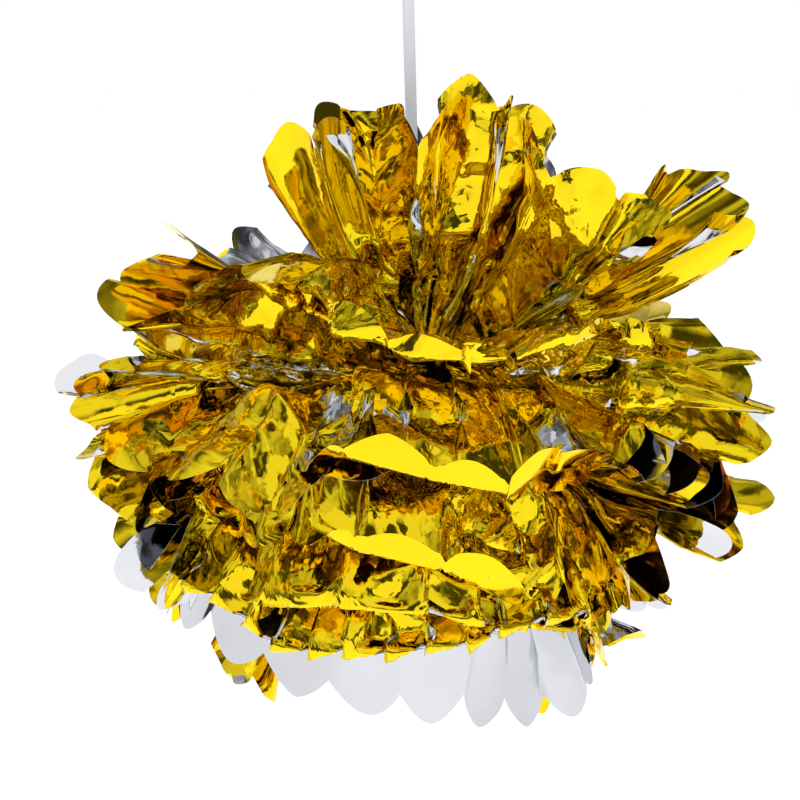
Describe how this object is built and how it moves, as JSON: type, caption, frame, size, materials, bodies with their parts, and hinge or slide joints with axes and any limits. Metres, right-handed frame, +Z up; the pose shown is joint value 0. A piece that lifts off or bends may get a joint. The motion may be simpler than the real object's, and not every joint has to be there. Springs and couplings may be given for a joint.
{
  "type": "hanging foil pom-pom",
  "caption": "Round pom-pom of pleated gold and silver foil petals, tied at the waist and hung from a narrow white satin ribbon with a loop.",
  "frame": {"origin": "where the hanging loop rests on a hook: the inside top of the loop", "axes": "+Z up along gravity, -Y towards the viewer (the front fans), +X to the viewer's right"},
  "size_m": [0.3143, 0.3329, 0.3575],
  "materials": {
    "gold_foil": "polished",
    "silver_foil": "polished",
    "satin_ribbon": "satin",
    "tie_wire": "satin"
  },
  "bodies": {
    "loop": {"hanging_loop": "satin_ribbon"},
    "upper_knot": {"loop_knot": "satin_ribbon"},
    "ribbon": {"ribbon": "satin_ribbon"},
    "core": {"ribbon_knot": "satin_ribbon", "tie_wire": "tie_wire", "wire_twist": "tie_wire", "waist_1": "gold_foil", "waist_2": "gold_foil", "waist_3": "gold_foil", "waist_4": "gold_foil", "waist_5": "gold_foil", "waist_6": "gold_foil", "waist_7": "gold_foil", "waist_8": "gold_foil"},
    "front_fan_1": {"front_fan_1": "gold_foil"},
    "back_fan_1": {"back_fan_1": "gold_foil"},
    "front_fan_2": {"front_fan_2": "gold_foil"},
    "back_fan_2": {"back_fan_2": "gold_foil"},
    "front_fan_3": {"front_fan_3": "gold_foil"},
    "back_fan_3": {"back_fan_3": "gold_foil"},
    "front_fan_4": {"front_fan_4": "gold_foil"},
    "back_fan_4": {"back_fan_4": "gold_foil"},
    "front_fan_5": {"front_fan_5": "gold_foil"},
    "back_fan_5": {"back_fan_5": "gold_foil"},
    "front_fan_6": {"front_fan_6": "gold_foil"},
    "back_fan_6": {"back_fan_6": "gold_foil"},
    "front_fan_7": {"front_fan_7": "gold_foil"},
    "back_fan_7": {"back_fan_7": "gold_foil"},
    "front_fan_8": {"front_fan_8": "silver_foil"},
    "back_fan_8": {"back_fan_8": "silver_foil"}
  },
  "joints": [
    {"name": "swing_sideways", "type": "hinge", "parent": "loop", "child": "upper_knot", "pos_m": [0, 0, -0.0298], "axis": [0, 1, 0], "range_deg": [-40, 40]},
    {"name": "swing_fore_and_aft", "type": "hinge", "parent": "upper_knot", "child": "ribbon", "pos_m": [0, 0, -0.0298], "axis": [1, 0, 0], "range_deg": [-40, 40]},
    {"name": "ball_spin", "type": "hinge", "parent": "ribbon", "child": "core", "pos_m": [0.0043, 0, -0.193], "axis": [0, 0, 1], "continuous": true},
    {"name": "front_fan_1_lift", "type": "hinge", "parent": "core", "child": "front_fan_1", "pos_m": [0.008, -0.009, -0.203], "axis": [-1, 0, 0], "range_deg": [-12, 5]},
    {"name": "back_fan_1_lift", "type": "hinge", "parent": "core", "child": "back_fan_1", "pos_m": [0.008, 0.009, -0.203], "axis": [1, 0, 0], "range_deg": [-12, 6]},
    {"name": "front_fan_2_lift", "type": "hinge", "parent": "core", "child": "front_fan_2", "pos_m": [0.008, -0.009, -0.205], "axis": [-1, 0, 0], "range_deg": [-14, 8]},
    {"name": "back_fan_2_lift", "type": "hinge", "parent": "core", "child": "back_fan_2", "pos_m": [0.008, 0.009, -0.205], "axis": [1, 0, 0], "range_deg": [-10, 8]},
    {"name": "front_fan_3_lift", "type": "hinge", "parent": "core", "child": "front_fan_3", "pos_m": [0.008, -0.009, -0.207], "axis": [-1, 0, 0], "range_deg": [-5, 14]},
    {"name": "back_fan_3_lift", "type": "hinge", "parent": "core", "child": "back_fan_3", "pos_m": [0.008, 0.009, -0.207], "axis": [1, 0, 0], "range_deg": [-6, 10]},
    {"name": "front_fan_4_lift", "type": "hinge", "parent": "core", "child": "front_fan_4", "pos_m": [0.008, -0.009, -0.209], "axis": [-1, 0, 0], "range_deg": [-4, 6]},
    {"name": "back_fan_4_lift", "type": "hinge", "parent": "core", "child": "back_fan_4", "pos_m": [0.008, 0.009, -0.209], "axis": [1, 0, 0], "range_deg": [-6, 6]},
    {"name": "front_fan_5_lift", "type": "hinge", "parent": "core", "child": "front_fan_5", "pos_m": [0.008, -0.009, -0.211], "axis": [-1, 0, 0], "range_deg": [-4, 5]},
    {"name": "back_fan_5_lift", "type": "hinge", "parent": "core", "child": "back_fan_5", "pos_m": [0.008, 0.009, -0.211], "axis": [1, 0, 0], "range_deg": [-6, 6]},
    {"name": "front_fan_6_lift", "type": "hinge", "parent": "core", "child": "front_fan_6", "pos_m": [0.008, -0.009, -0.213], "axis": [-1, 0, 0], "range_deg": [-4, 4]},
    {"name": "back_fan_6_lift", "type": "hinge", "parent": "core", "child": "back_fan_6", "pos_m": [0.008, 0.009, -0.213], "axis": [1, 0, 0], "range_deg": [-6, 6]},
    {"name": "front_fan_7_lift", "type": "hinge", "parent": "core", "child": "front_fan_7", "pos_m": [0.008, -0.009, -0.215], "axis": [-1, 0, 0], "range_deg": [-4, 4]},
    {"name": "back_fan_7_lift", "type": "hinge", "parent": "core", "child": "back_fan_7", "pos_m": [0.008, 0.009, -0.215], "axis": [1, 0, 0], "range_deg": [-5, 6]},
    {"name": "front_fan_8_lift", "type": "hinge", "parent": "core", "child": "front_fan_8", "pos_m": [0.008, -0.009, -0.217], "axis": [-1, 0, 0], "range_deg": [-4, 4]},
    {"name": "back_fan_8_lift", "type": "hinge", "parent": "core", "child": "back_fan_8", "pos_m": [0.008, 0.009, -0.217], "axis": [1, 0, 0], "range_deg": [-4, 5]}
  ]
}
